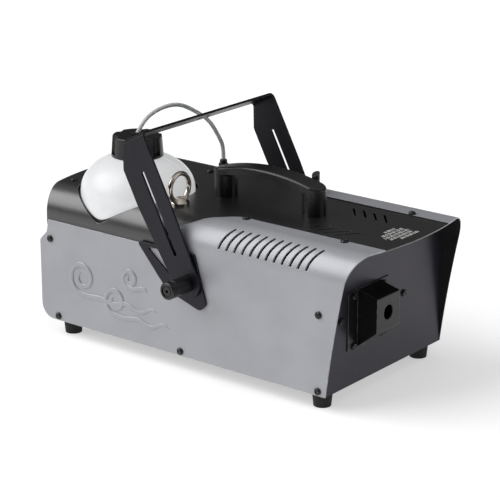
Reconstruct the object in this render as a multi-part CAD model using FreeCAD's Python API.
import FreeCAD, Part
import math
import os

# Fog machine with a lift-up hanging yoke.
# Millimetres. X is the width, Y the length with the nozzle end at -Y, Z is up.
# The origin is on the floor, under the middle of the casing from hood tip to tail.

# ---- casing -------------------------------------------------------------
BODY_LENGTH = 465.0          # side covers along their bottom edge
BODY_WIDTH = 250.0           # over the side covers
BODY_HEIGHT = 180.0          # casing only, without its feet
SHOULDER_RADIUS = 36.0       # rounding of both long top edges
SHEET = 1.5                  # cover and panel steel
SEAM = 0.2                   # gap between sheets that lie on each other
HOOD_LEAN_MID = 13.5         # forward lean of the covers' front edge at half height
HOOD_LEAN_TOP = 31.9         # and at the top
HOOD_BOW = 17.0              # extra reach of the hood at the middle of its width
HOOD_LIP = 1.0               # top cover's front edge behind the side covers' edge
TAIL_BOW = 21.0              # bulge of the top cover's rear edge
TAIL_SETBACK = 12.5          # top cover's rear corners ahead of the side covers' rear edge
SIDE_RAIL_HEIGHT = 137.0     # low rear part of each side cover, above the underside
TAIL_UPRIGHT = 107.0         # straight part of the covers' rear edge
TAIL_CHAMFER = 13.0          # height of the sloped part above it
TAIL_CORNER = 20.0           # radius at the bottom rear
FLANGE_EDGE = 68.0           # side covers' top flanges end here, from the middle
FLANGE_REAR = 173.3          # their inner rear corner, behind the front plane
FLANGE_CORNER = 26.0
FLANGE_KNEE = (40.0, 41.0)   # outward and rearward of that corner, the rear edge steepens
FLANGE_END = (57.0, 75.0)    # and meets the low rail
FLANGE_KNEE_RADIUS = 30.0
FLANGE_SCREW_IN = 4.0        # flange screws, from the flange's edge
TOP_SKIRT = 50.0             # depth of the top cover's rear sides
TOP_OVERLAP = 24.0           # top cover reaching under the side covers' flanges
REAR_PANEL_INSET = 23.5      # rear panel's face ahead of the side covers' rear edge
TRAY_WALL = 22.0             # upturned sides of the bottom tray
TRAY_SLOTS = 5               # cooling slots in the tray, under the heater
TRAY_SLOT_FIRST = 90.0       # behind the front plane
TRAY_SLOT_PITCH = 22.0
TRAY_SLOT_LENGTH = 60.0
TRAY_SLOT_WIDTH = 5.0
REAR_LEDGE = 16.0            # rear panel's top ledge, for the lid's screws
REAR_LEDGE_HALF = 86.0
REAR_FLANGE = 9.0            # rear panel's side flanges
REAR_FLANGE_LOW = 30.0
REAR_FLANGE_HIGH = 118.0
REAR_SLOTS = 11              # air slots over the inlet
REAR_SLOT_FIRST = -90.0
REAR_SLOT_PITCH = 14.0
REAR_SLOT_LOW = 62.0
REAR_SLOT_LENGTH = 40.0
REAR_SLOT_WIDTH = 3.0
PANEL_FLANGE = 18.0          # side flanges of the front panel
PANEL_FLANGE_LOW = 75.0      # their lower and upper ends, above the underside
PANEL_FLANGE_HIGH = 125.0

# ---- feet ---------------------------------------------------------------
FOOT_HEIGHT = 20.0
FOOT_RADIUS_LOW = 11.0
FOOT_RADIUS_HIGH = 13.0
FOOT_SPREAD = 104.0          # from the middle
FOOT_FRONT = 18.8            # behind the front plane
FOOT_REAR = 36.0             # ahead of the rear edge
FOOT_SCREW_SINK = 9.0        # depth of the screw head's pocket
FOOT_POCKET_GAP = 1.0        # round the screw head
FOOT_NUT_WIDTH = 7.0         # across flats
FOOT_NUT_HEIGHT = 3.0

# ---- vents --------------------------------------------------------------
VENT_COUNT = 12
VENT_PITCH = 12.1
VENT_FIRST = 33.2            # lower end of the foremost vent, behind the front plane
VENT_WIDTH = 3.5
VENT_LOW = 26.5              # lower end, below the top
VENT_RUN = 26.8              # length in plan
VENT_SLANT = 33.3            # degrees, from straight across
LOUVRE_COUNT = 4
LOUVRE_PITCH = 15.7
LOUVRE_FIRST = 30.0          # foremost slot's middle, behind the front plane
LOUVRE_WIDTH = 3.0
LOUVRE_LENGTH = 34.0
LOUVRE_OFFSET = 39.5         # slot middles, from the middle of the top
LOUVRE_ANGLE = 40.0

# ---- fasteners ----------------------------------------------------------
SCREW_HEAD_RADIUS = 4.6
SCREW_HEAD_HEIGHT = 2.9
SCREW_RADIUS = 2.2
SCREW_LENGTH = 7.0
SCREW_RECESS_WIDTH = 0.8
SCREW_RECESS_DEPTH = 1.2
SCREW_CLEARANCE = 0.2
RUNNING = 0.06               # radial clearance of turning and sliding fits
SPACE = 0.3                  # gap between pieces that move past each other

# ---- hanging yoke -------------------------------------------------------
PIVOT_BACK = 207.5           # pivot behind the front plane
PIVOT_HEIGHT = 102.0         # pivot above the underside
YOKE_LEAN = 28.0             # degrees that the yoke leans back
YOKE_REACH = 194.0           # pivot to the crossbar's outer face
YOKE_SHEET = 3.0
YOKE_BEND = 8.0              # outer radius of its two bends
YOKE_FRONT_HALF = 23.0       # crossbar's front edge, from the arm's middle line
YOKE_REAR_HALF = 14.0
ARM_WIDE = 29.0              # rear edge of the arm where it is widest
ARM_WIDE_LOW = 111.5         # from here ...
ARM_WIDE_HIGH = 160.5        # ... to here, measured from the pivot
ARM_FOOT_RADIUS = 19.0
ARM_SLOT_LOW = 38.5
ARM_SLOT_HIGH = 146.5
ARM_SLOT_WIDTH = 5.0
CLAMP_HOLE_RADIUS = 6.25     # for an M12 hook clamp
PIVOT_SHEET = 2.5
# Side bracket: corners behind and above the pivot, each with its rounding.
PLATE_OUTLINE = [(86.0, 38.0, 3.0), (37.0, -17.0, 12.0), (-17.0, -34.0, 8.0), (-27.0, -24.0, 8.0),
                 (-8.0, 38.0, 3.0)]
PLATE_WINDOW = [(70.0, 33.5, 2.0), (25.0, 33.5, 2.0), (25.0, -2.0, 2.0)]
STUD_RADIUS = 4.0
STUD_HEAD_RADIUS = 7.0
STUD_HEAD_HEIGHT = 5.0
STUD_GRIP = 24.0             # length inside the knob
WASHER_RADIUS = 11.0
WASHER_SHEET = 1.2
KNOB_RADIUS = 11.0
KNOB_LENGTH = 38.0
KNOB_EASE = 1.2              # bevel of its ends
KNOB_RIM = 2.0               # width of the rings on its outer end
KNOB_GROOVE_AT = 10.5        # turned groove, from the outer end
KNOB_GROOVE_DEPTH = 0.5
KNOB_CENTRE_HOLE = 2.2       # radius
KNOB_HOLE_DEPTH = 8.0
FRAME_SHEET = 3.0            # inner lifting frame
FRAME_WIDTH = 50.0
FRAME_TOP_REAR = 68.0        # its top plate behind the pivot
FRAME_TOP_HALF = 88.0
PLATE_SCREW = (17.0, 22.0)   # behind and above the pivot
PLATE_SCREW_SINK = 2.0
PLATE_SCREW_LENGTH = 12.0

# ---- handle and lifting eye ---------------------------------------------
HANDLE_FRONT = 110.5         # front post behind the front plane
HANDLE_SPAN = 141.0
HANDLE_POST_RADIUS = 15.0
HANDLE_END_HEIGHT = 33.0     # grip's top at its ends, above the top
HANDLE_MID_HEIGHT = 45.5
HANDLE_GRIP = 10.5           # thickness of the grip
HANDLE_EASE = 3.5            # rounding of the grip's top edges
HANDLE_BOLT_RADIUS = 2.5
HANDLE_BOLT_DEPTH = 18.0
THUMB_HEIGHT = 28.0          # screw turned by hand on the right flange
THUMB_RADIUS = 5.2
THUMB_DROP = 5.0             # slope of its top
EYE_X = -70.0
EYE_BACK = 63.0              # behind the pivot
EYE_OUTER = 21.5
EYE_WIRE = 3.2               # half the ring's thickness
EYE_COLLAR = 12.5
EYE_COLLAR_TOP = 8.5
EYE_COLLAR_HEIGHT = 8.0
EYE_BASE_HEIGHT = 3.0
EYE_SHANK = 5.0
EYE_SHANK_LENGTH = 17.0
EYE_NUT_HEIGHT = 8.0
EYE_NUT_WIDTH = 17.0         # across flats

# ---- fluid tank ---------------------------------------------------------
TANK_X = -45.0
TANK_AHEAD = 102.5           # tank's axis ahead of the rear edge
TANK_RADIUS = 74.5
TANK_FLOOR = 52.0            # tank's base above the underside
TANK_SHOULDER = 177.0        # dome starts, above the underside
TANK_DOME = 50.0
TANK_NECK_RADIUS = 26.0
TANK_NECK_TOP = 242.0        # above the underside
TANK_WALL = 2.0
TANK_BASE_ROUND = 8.0
WELL_GAP = 1.0               # tank to well
WELL_WALL = 1.0
WELL_HOLE_GAP = 3.5          # tank to the round cut-out in the top cover
CAP_LOW_RADIUS = 34.0
CAP_TOP_RADIUS = 32.0
CAP_HEIGHT = 27.0
CAP_BASE = 222.0             # above the underside
CAP_ROOF = 4.0
CAP_FLUTES = 6
CAP_FLUTE_RADIUS = 6.5
CAP_FLUTE_DEPTH = 5.5
GROMMET_STEM = 5.0
GROMMET_RADIUS = 7.0
GROMMET_HEIGHT = 3.0
HOSE_RADIUS = 2.75
HOSE_BORE = 1.75
PICKUP_LENGTH = 175.0
FILTER_RADIUS = 7.0
FILTER_TOP_RADIUS = 5.0
FILTER_LENGTH = 14.0
SHELF_HALF_X = 46.0          # steel table under the well
SHELF_HALF_Y = 42.0
SHELF_LIP = 10.0
FITTING_X = 70.0
FITTING_AHEAD = 152.5        # fitting ahead of the rear edge
FITTING_HEIGHT = 20.7        # above the top cover
FITTING_RADIUS = 5.5
FITTING_FLANGE = 8.0
FITTING_DEPTH = 16.0
HOSE_SEAT = 1.0              # hose starts this far above the cap
# The clear hose from the cap's grommet to the fitting.
HOSE_ROUTE = [
    (-45.0, 150.2, 270.0),
    (-40.0, 148.0, 279.8),
    (-29.0, 143.2, 292.9),
    (-7.9, 134.1, 302.1),
    (13.2, 124.9, 301.9),
    (35.2, 115.3, 287.9),
    (51.8, 108.1, 274.1),
    (64.6, 102.6, 249.9),
    (70.0, 100.2, 236.0),
    (70.0, 100.2, 219.0),
]

# ---- heater, nozzle and pump --------------------------------------------
NOZZLE_X = -38.5
NOZZLE_HEIGHT = 91.5         # above the underside
NOZZLE_RADIUS = 6.0
NOZZLE_BORE = 1.5
NOZZLE_LENGTH = 44.0
NOZZLE_FLANGE = 11.0
NOZZLE_HOLE = 15.0           # opening in the front panel
HEATER_SETBACK = 24.0        # heater shell behind the front plane
HEATER_LENGTH = 182.0
HEATER_WIDTH = 104.0
HEATER_DEEP = 84.0
HEATER_SKIN = 1.0
INSULATION = 14.0
BRACKET_SHEET = 2.0
GUARD_WIDTH = 47.0           # box over the nozzle
GUARD_REACH = 30.0
GUARD_BACK_LOW = 46.0        # heights above the underside, at the panel
GUARD_BACK_HIGH = 121.0
GUARD_FACE_LOW = 70.0        # and at the box's front face
GUARD_FACE_HIGH = 113.5
GUARD_EAR = 19.0             # flange on each side of the box
GUARD_SCREW_IN = 7.0         # ear screws, from the box and from its ends
GUARD_HOLE = 9.6
PANEL_SCREWS = [(-94.0, 88.0), (38.5, 88.0)]      # x, height above the underside
PUMP_X = 72.0
PUMP_BACK = 255.0            # behind the front plane
PUMP_SIZE = (34.0, 62.0, 38.0)
PUMP_LIFT = 24.0             # above the tray
PIPE_RADIUS = 3.0
THERMOSTAT_RADIUS = 9.0

# ---- controls on the rear panel -----------------------------------------
INLET_SPOT = (-72.0, 27.0)   # x, height above the underside
INLET_SIZE = (30.0, 22.0)
INLET_FLANGE = (50.0, 26.0)
INLET_DEPTH = 24.0
FUSE_SPOT = (-28.0, 27.0)
FUSE_RADIUS = 6.5
SWITCH_SPOT = (6.0, 27.0)
SWITCH_SIZE = (15.0, 21.0)
SWITCH_TILT = 8.0
SOCKET_SPOT = (84.0, 50.0)
SOCKET_RADIUS = 8.0
DIAL_SPOT = (84.0, 90.0)
DIAL_RADIUS = 11.0
DIAL_HEIGHT = 13.0
DIAL_NECK_RADIUS = 3.5
BUTTON_SPOT = (84.0, 128.0)
BUTTON_RADIUS = 6.0
BUTTON_NECK_RADIUS = 7.5
BUTTON_STROKE = 3.0
BOARD_SIZE = (80.0, 110.0)
BOARD_SHEET = 1.6
BOARD_LIFT = 8.0

# ---- worked out ---------------------------------------------------------
V = FreeCAD.Vector
NOSE = HOOD_LEAN_TOP + HOOD_BOW
TAIL = TAIL_BOW - TAIL_SETBACK
Y_FRONT = NOSE - (BODY_LENGTH + NOSE + TAIL) / 2
Y_REAR = Y_FRONT + BODY_LENGTH
HALF = BODY_WIDTH / 2
UNDER = FOOT_HEIGHT
TOP = UNDER + BODY_HEIGHT
LID_TOP = TOP - SHEET - SEAM                  # outer face of the black top cover
LID_UNDER = LID_TOP - SHEET
FAR = 400.0                                   # longer than anything it cuts
PIVOT = V(0, Y_FRONT + PIVOT_BACK, UNDER + PIVOT_HEIGHT)
TANK_Y = Y_REAR - TANK_AHEAD
REAR_FACE = Y_REAR - REAR_PANEL_INSET
FLANGE_Y = Y_FRONT + FLANGE_REAR
TRAY_TOP = UNDER + SHEET
PLATE_IN = HALF + SPACE                       # pivot plate's inner face
PLATE_OUT = PLATE_IN + PIVOT_SHEET
ARM_IN = PLATE_OUT + WASHER_SHEET + 2 * SPACE
ARM_OUT = ARM_IN + YOKE_SHEET
KNOB_IN = ARM_OUT + SPACE
INNER_WALL = HALF - SHEET - SEAM              # inside the side covers, seam left free
FRAME_INSET = 2 * (SHEET + SEAM)
FITTING = V(FITTING_X, Y_REAR - FITTING_AHEAD, LID_TOP)


# ---- building blocks ----------------------------------------------------
def side_view(x):
    """Drawings of the side: (y, z) at one x."""
    return lambda y, z: V(x, y, z)


def front_view(y):
    """Drawings of the front: (x, z) at one y."""
    return lambda x, z: V(x, y, z)


def plan_view(z):
    """Drawings from above: (x, y) at one height."""
    return lambda x, y: V(x, y, z)


def outline(corners, view):
    """A closed outline from (a, b) corners; a third number rounds that corner."""
    spots = [view(corner[0], corner[1]) for corner in corners]
    radii = [corner[2] if len(corner) > 2 else 0.0 for corner in corners]
    enter = []
    leave = []
    arcs = []
    for i, spot in enumerate(spots):
        back = (spots[i - 1] - spot).normalize()
        ahead = (spots[(i + 1) % len(spots)] - spot).normalize()
        half_angle = back.getAngle(ahead) / 2
        reach = radii[i] / math.tan(half_angle)
        enter.append(spot + back * reach)
        leave.append(spot + ahead * reach)
        middle = (back + ahead).normalize()
        arcs.append(spot + middle * (radii[i] / math.sin(half_angle) - radii[i]))
    edges = []
    for i in range(len(spots)):
        if radii[i] > 0:
            edges.append(Part.Arc(enter[i], arcs[i], leave[i]).toShape())
        following = enter[(i + 1) % len(spots)]
        if leave[i].distanceToPoint(following) > 1e-6:
            edges.append(Part.LineSegment(leave[i], following).toShape())
    return Part.Wire(edges)


def plate(corners, view, thickness):
    """A flat plate: its outline pushed along the thickness vector."""
    return Part.Face(outline(corners, view)).extrude(thickness)


def block(x, y, z):
    """A box from three (low, high) pairs."""
    size = (x[1] - x[0], y[1] - y[0], z[1] - z[0])
    return Part.makeBox(size[0], size[1], size[2], V(x[0], y[0], z[0]))


def rod(radius, start, end):
    """A round bar between two points."""
    along = end - start
    return Part.makeCylinder(radius, along.Length, start, along)


def stadium(radius, start, end, thickness):
    """A slot-shaped plate between two points, for slots and pads."""
    along = (end - start).normalize()
    across = along.cross(thickness).normalize() * radius
    edges = [
        Part.LineSegment(start + across, end + across).toShape(),
        Part.Arc(end + across, end + along * radius, end - across).toShape(),
        Part.LineSegment(end - across, start - across).toShape(),
        Part.Arc(start - across, start - along * radius, start + across).toShape(),
    ]
    return Part.Face(Part.Wire(edges)).extrude(thickness)


def hexagon(flats, base, height):
    """A hexagonal bar standing on a point."""
    radius = flats / math.sqrt(3)
    corners = []
    for i in range(6):
        angle = math.radians(60 * i)
        corners.append((base.x + radius * math.cos(angle), base.y + radius * math.sin(angle)))
    return plate(corners, plan_view(base.z), V(0, 0, height))


def joined(shapes):
    """One solid out of pieces that touch or overlap."""
    whole = shapes[0].fuse(shapes[1:]) if len(shapes) > 1 else shapes[0]
    return whole.removeSplitter()


def cut_all(shape, tools):
    """A shape with every tool cut out of it."""
    return shape.cut(tools) if tools else shape


def mirrored(shape):
    """The same piece on the other side of the machine."""
    return shape.mirror(V(0, 0, 0), V(1, 0, 0))


def revolved(profile, centre, axis):
    """A turned piece: (radius, height) points spun about an axis through centre."""
    side = V(1, 0, 0) if abs(axis.x) < 0.5 else V(0, 1, 0)
    points = [centre + side * r + axis * h for r, h in profile]
    face = Part.Face(Part.makePolygon(points + [points[0]]))
    return face.revolve(centre, axis, 360)


def section(inset, y_range, bottom):
    """The casing's cross-section, smaller by an inset all round, along a stretch of length."""
    half = HALF - inset
    radius = SHOULDER_RADIUS - inset
    corners = [
        (-half, bottom),
        (-half, TOP - inset, radius),
        (half, TOP - inset, radius),
        (half, bottom),
    ]
    return plate(corners, front_view(y_range[0]), V(0, y_range[1] - y_range[0], 0))


def hood_front(setback):
    """All the space ahead of the hood's leaning, bowed front edge."""
    steps = 8
    slope = (4 * HOOD_LEAN_MID - HOOD_LEAN_TOP) / BODY_HEIGHT
    curve = 2 * (HOOD_LEAN_TOP - 2 * HOOD_LEAN_MID) / BODY_HEIGHT ** 2
    margin = 10.0
    grid = []
    for i in range(steps + 1):
        x = (i / steps - 0.5) * (BODY_WIDTH + margin)
        row = []
        for j in range(steps + 1):
            height = -margin + (BODY_HEIGHT + 2 * margin) * j / steps
            lean = slope * height + curve * height ** 2
            bow = HOOD_BOW * (1 - (x / HALF) ** 2)
            row.append(V(x, Y_FRONT - lean - bow + setback, UNDER + height))
        grid.append(row)
    surface = Part.BSplineSurface()
    surface.interpolate(grid)
    return surface.toShape().extrude(V(0, -FAR, 0))


# ---- fasteners ----------------------------------------------------------
def pan_screw(seat, outward, length=SCREW_LENGTH):
    """A cross-recessed pan head screw; its head sits on the seat point."""
    profile = [
        (0, -length),
        (SCREW_RADIUS, -length),
        (SCREW_RADIUS, 0),
        (SCREW_HEAD_RADIUS, 0),
        (SCREW_HEAD_RADIUS, SCREW_HEAD_HEIGHT * 0.55),
        (SCREW_HEAD_RADIUS * 0.72, SCREW_HEAD_HEIGHT),
        (0, SCREW_HEAD_HEIGHT),
    ]
    screw = revolved(profile, seat, outward)
    side = V(0, 0, 1) if abs(outward.z) < 0.5 else V(1, 0, 0)
    for along in (side, side.cross(outward)):
        across = along.cross(outward)
        start = seat + outward * (SCREW_HEAD_HEIGHT - SCREW_RECESS_DEPTH)
        corners = [
            start + along * s * SCREW_HEAD_RADIUS / 2 + across * c * SCREW_RECESS_WIDTH / 2
            for s, c in ((-1, -1), (1, -1), (1, 1), (-1, 1))
        ]
        recess = Part.Face(Part.makePolygon(corners + [corners[0]])).extrude(outward * 3)
        screw = screw.cut(recess)
    return screw


def screw_hole(seat, outward, length=SCREW_LENGTH):
    """Clearance for a screw's shank, open a little above the seat."""
    return rod(SCREW_RADIUS + SCREW_CLEARANCE, seat + outward, seat - outward * (length + 1))


def side_screw_seats():
    """Screws of one side cover, as (y, z)."""
    low = UNDER + 6.0
    return [
        (REAR_FACE + 5.0, UNDER + 111.0),
        (REAR_FACE - 6.0, low),
        (Y_FRONT + 225.5, low),
        (Y_FRONT + 10.5, low),
        (Y_FRONT + 10.5, UNDER + 103.0),
    ]


def side_cuts(side, tool):
    """The same tool at each side screw; side is -1 for the left and 1 for the right."""
    outward = V(side, 0, 0)
    return [tool(V(side * HALF, y, z), outward) for y, z in side_screw_seats()]


def flange_seats():
    """Screws through the side covers' top flanges; the thumb screw's place comes last."""
    front_y = Y_FRONT + 12.5
    rear_y = Y_FRONT + 161.5
    inner = FLANGE_EDGE + FLANGE_SCREW_IN
    return [V(-inner, front_y, TOP), V(inner, front_y, TOP), V(-inner, rear_y, TOP),
            V(inner, rear_y, TOP)]


def lid_seats():
    """Screws straight into the top cover."""
    tail_y = REAR_FACE + 8.0
    return [V(-74, tail_y, LID_TOP), V(74, tail_y, LID_TOP), V(68, FITTING.y + 22, LID_TOP)]


def handle_posts():
    """Centres of the handle's posts on the top cover."""
    front_y = Y_FRONT + HANDLE_FRONT
    return [V(0, front_y, LID_TOP), V(0, front_y + HANDLE_SPAN, LID_TOP)]


def foot_spots():
    """Centres of the feet on the floor."""
    return [V(x, y, 0) for y in (Y_FRONT + FOOT_FRONT, Y_REAR - FOOT_REAR)
            for x in (-FOOT_SPREAD, FOOT_SPREAD)]


def rear_spot(spot, out=0.0):
    """A place on the rear panel, given as x and height, some way out from its face."""
    return V(spot[0], REAR_FACE + out, UNDER + spot[1])


# ---- casing -------------------------------------------------------------
def side_cover():
    """Left cover: low along the tail, wrapped over the shoulder at the front."""
    whole_length = (Y_FRONT - NOSE - 10, Y_REAR)
    shell = section(0, whole_length, UNDER).cut(section(SHEET, whole_length, UNDER))
    shell = shell.cut(block((-FLANGE_EDGE, FAR), (-FAR, FAR), (0, FAR)))
    side = [
        (-FAR, UNDER),
        (Y_REAR, UNDER, TAIL_CORNER),
        (Y_REAR, UNDER + TAIL_UPRIGHT, 3),
        (Y_REAR - TAIL_SETBACK, UNDER + TAIL_UPRIGHT + TAIL_CHAMFER, 3),
        (Y_REAR - TAIL_SETBACK - 3, UNDER + SIDE_RAIL_HEIGHT),
        (Y_REAR - TAIL_SETBACK - 3, FAR),
        (-FAR, FAR),
    ]
    shell = shell.common(plate(side, side_view(-FAR), V(2 * FAR, 0, 0)))
    rail_top = UNDER + SIDE_RAIL_HEIGHT
    knee = (-FLANGE_EDGE - FLANGE_KNEE[0], FLANGE_Y + FLANGE_KNEE[1])
    rail_meet = (-FLANGE_EDGE - FLANGE_END[0], FLANGE_Y + FLANGE_END[1])
    high_part = [(-FAR, -FAR), (-FLANGE_EDGE, -FAR), (-FLANGE_EDGE, FLANGE_Y, FLANGE_CORNER),
                 (knee[0], knee[1], FLANGE_KNEE_RADIUS), rail_meet, (-FAR, rail_meet[1])]
    above_rail = block((-FAR, FAR), (-FAR, FAR), (rail_top, FAR))
    above_rail = above_rail.cut(plate(high_part, plan_view(rail_top), V(0, 0, FAR)))
    shell = shell.cut(above_rail)
    shell = shell.cut(hood_front(0))
    tools = side_cuts(-1, screw_hole) + vent_slots()
    tools += [screw_hole(seat, V(0, 0, 1)) for seat in flange_seats()]
    tools.append(rod(STUD_RADIUS + SCREW_CLEARANCE, PIVOT - V(FAR, 0, 0), PIVOT))
    spot = PIVOT + V(0, PLATE_SCREW[0], PLATE_SCREW[1])
    tools.append(rod(SCREW_RADIUS + SCREW_CLEARANCE, spot - V(FAR, 0, 0), spot))
    return cut_all(shell, tools)


def vent_slots():
    """Cutters for the row of slots over the left shoulder."""
    slant = math.radians(VENT_SLANT)
    along = V(math.cos(slant), -math.sin(slant), 0)
    tools = []
    for i in range(VENT_COUNT):
        low_end = V(-HALF - 2, Y_FRONT + VENT_FIRST + i * VENT_PITCH, TOP - VENT_LOW)
        high_end = low_end + along * VENT_RUN
        tools.append(stadium(VENT_WIDTH / 2, low_end - along * 10, high_end, V(0, 0, FAR)))
    return tools


def top_cover():
    """Black lid: flat between the flanges, with its own shoulders along the tail."""
    skirt_low = TOP - TOP_SKIRT
    outer = SHEET + SEAM
    length = (Y_FRONT - NOSE - 10, Y_REAR + TAIL)
    shell = section(outer, length, skirt_low).cut(section(outer + SHEET, length, skirt_low))
    flat_half = FLANGE_EDGE + TOP_OVERLAP
    shoulder_start = FLANGE_Y - 8
    for x in ((-FAR, -flat_half), (flat_half, FAR)):
        shell = shell.cut(block(x, (-FAR, shoulder_start), (0, FAR)))
    corner_y = Y_REAR - TAIL_SETBACK
    tail_edge = [
        Part.Arc(V(-HALF, corner_y, 0), V(0, Y_REAR + TAIL, 0), V(HALF, corner_y, 0)).toShape(),
        Part.makePolygon([V(HALF, corner_y, 0), V(FAR, corner_y, 0), V(FAR, FAR, 0),
                          V(-FAR, FAR, 0), V(-FAR, corner_y, 0), V(-HALF, corner_y, 0)]),
    ]
    behind = Part.Face(Part.Wire([tail_edge[0]] + tail_edge[1].Edges))
    shell = shell.cut(behind.extrude(V(0, 0, FAR)))
    shell = shell.cut(hood_front(HOOD_LIP))
    tools = louvres()
    tank_hole = TANK_RADIUS + WELL_HOLE_GAP
    tools.append(rod(tank_hole, V(TANK_X, TANK_Y, skirt_low - 1), V(TANK_X, TANK_Y, FAR)))
    tools += [screw_hole(seat, V(0, 0, 1)) for seat in flange_seats() + lid_seats()]
    for post in handle_posts():
        tools.append(rod(HANDLE_BOLT_RADIUS + SCREW_CLEARANCE, post - V(0, 0, 9), post + V(0, 0, 9)))
    eye = eye_seat()
    tools.append(rod(EYE_SHANK + SCREW_CLEARANCE, eye - V(0, 0, 9), eye + V(0, 0, 9)))
    tools.append(rod(FITTING_RADIUS + SCREW_CLEARANCE, FITTING - V(0, 0, 9), FITTING + V(0, 0, 9)))
    return cut_all(shell, tools)


def louvres():
    """Cutters for the two mirrored sets of slanted slots near the front of the top."""
    angle = math.radians(LOUVRE_ANGLE)
    half_length = (LOUVRE_LENGTH - LOUVRE_WIDTH) / 2
    tools = []
    for side in (-1, 1):
        along = V(-side * math.cos(angle), -math.sin(angle), 0) * half_length
        for i in range(LOUVRE_COUNT):
            y = Y_FRONT + LOUVRE_FIRST + i * LOUVRE_PITCH
            middle = V(side * LOUVRE_OFFSET, y, LID_UNDER - 1)
            tools.append(stadium(LOUVRE_WIDTH / 2, middle - along, middle + along, V(0, 0, 9)))
    return tools


def bottom_tray():
    """Chassis pan between the two end panels, upturned along both sides."""
    y_range = (Y_FRONT + SHEET + SEAM, REAR_FACE - SHEET - SEAM)
    x_range = (-INNER_WALL, INNER_WALL)
    pan = block(x_range, y_range, (UNDER, UNDER + TRAY_WALL))
    inside = (-INNER_WALL + SHEET, INNER_WALL - SHEET)
    pan = pan.cut(block(inside, (-FAR, FAR), (TRAY_TOP, FAR)))
    tools = []
    for side in (-1, 1):
        tools += side_cuts(side, screw_hole)
    for spot in foot_spots():
        tools.append(rod(SCREW_RADIUS + SCREW_CLEARANCE, spot, spot + V(0, 0, TRAY_TOP + 1)))
    slot_half = TRAY_SLOT_LENGTH / 2
    for i in range(TRAY_SLOTS):
        y = Y_FRONT + TRAY_SLOT_FIRST + i * TRAY_SLOT_PITCH
        start = V(NOZZLE_X - slot_half, y, UNDER - 1)
        end = V(NOZZLE_X + slot_half, y, UNDER - 1)
        tools.append(stadium(TRAY_SLOT_WIDTH / 2, start, end, V(0, 0, TRAY_WALL)))
    return cut_all(pan, tools)


def front_panel():
    """Upright panel under the hood, with side flanges for the covers' screws."""
    panel = section(SHEET + SEAM, (Y_FRONT, Y_FRONT + SHEET), UNDER)
    panel = panel.common(block((-FAR, FAR), (-FAR, FAR), (0, LID_UNDER - SEAM)))
    pieces = [panel]
    for side in (-1, 1):
        x = sorted((side * INNER_WALL, side * (INNER_WALL - SHEET)))
        z = (UNDER + PANEL_FLANGE_LOW, UNDER + PANEL_FLANGE_HIGH)
        pieces.append(block(x, (Y_FRONT, Y_FRONT + PANEL_FLANGE), z))
    panel = joined(pieces)
    nozzle = V(NOZZLE_X, Y_FRONT - 1, UNDER + NOZZLE_HEIGHT)
    tools = [rod(NOZZLE_HOLE, nozzle, nozzle + V(0, 5, 0))]
    for side in (-1, 1):
        tools += side_cuts(side, screw_hole)
    ahead = V(0, -1, 0)
    tools += [screw_hole(seat, ahead) for seat in guard_seats() + panel_seats()]
    return cut_all(panel, tools)


def rear_panel():
    """Recessed upright panel that carries the sockets and controls."""
    panel = section(FRAME_INSET, (REAR_FACE - SHEET, REAR_FACE), UNDER)
    pieces = [panel]
    ledge_z = LID_UNDER - SEAM
    pieces.append(block((-REAR_LEDGE_HALF, REAR_LEDGE_HALF), (REAR_FACE - SHEET, REAR_FACE + REAR_LEDGE),
                        (ledge_z - SHEET, ledge_z)))
    for side in (-1, 1):
        x = sorted((side * INNER_WALL, side * (INNER_WALL - FRAME_INSET - SHEET)))
        z = (UNDER + REAR_FLANGE_LOW, UNDER + REAR_FLANGE_HIGH)
        foot = block(x, (REAR_FACE - SHEET, REAR_FACE), z)
        x = sorted((side * INNER_WALL, side * (INNER_WALL - SHEET)))
        pieces += [foot, block(x, (REAR_FACE - SHEET, REAR_FACE + REAR_FLANGE), z)]
    panel = joined(pieces)
    through = V(0, 6, 0)
    tools = []
    for side in (-1, 1):
        tools += side_cuts(side, screw_hole)
    tools += [screw_hole(seat, V(0, 0, 1), 12) for seat in lid_seats()[:2]]
    for spot, size in ((INLET_SPOT, INLET_SIZE), (SWITCH_SPOT, SWITCH_SIZE)):
        half_x = size[0] / 2 + SEAM
        half_z = size[1] / 2 + SEAM
        middle = rear_spot(spot)
        tools.append(block((middle.x - half_x, middle.x + half_x), (REAR_FACE - 3, REAR_FACE + 3),
                           (middle.z - half_z, middle.z + half_z)))
    for spot, radius in ((FUSE_SPOT, FUSE_RADIUS), (SOCKET_SPOT, SOCKET_RADIUS),
                         (DIAL_SPOT, DIAL_NECK_RADIUS), (BUTTON_SPOT, BUTTON_NECK_RADIUS)):
        start = rear_spot(spot, -3)
        tools.append(rod(radius + SEAM, start, start + through))
    for i in range(REAR_SLOTS):
        start = V(REAR_SLOT_FIRST + i * REAR_SLOT_PITCH, REAR_FACE - 3, UNDER + REAR_SLOT_LOW)
        end = start + V(0, 0, REAR_SLOT_LENGTH)
        tools.append(stadium(REAR_SLOT_WIDTH / 2, start, end, through))
    return cut_all(panel, tools)


def feet():
    """Four tapered rubber feet with pockets for their screws."""
    made = []
    for spot in foot_spots():
        foot = Part.makeCone(FOOT_RADIUS_LOW, FOOT_RADIUS_HIGH, FOOT_HEIGHT, spot)
        pocket = rod(SCREW_HEAD_RADIUS + FOOT_POCKET_GAP, spot - V(0, 0, 1), spot + V(0, 0, FOOT_SCREW_SINK))
        hole = rod(SCREW_RADIUS + SCREW_CLEARANCE, spot, spot + V(0, 0, FOOT_HEIGHT + 1))
        made.append(foot.cut([pocket, hole]))
    return Part.makeCompound(made)


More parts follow.
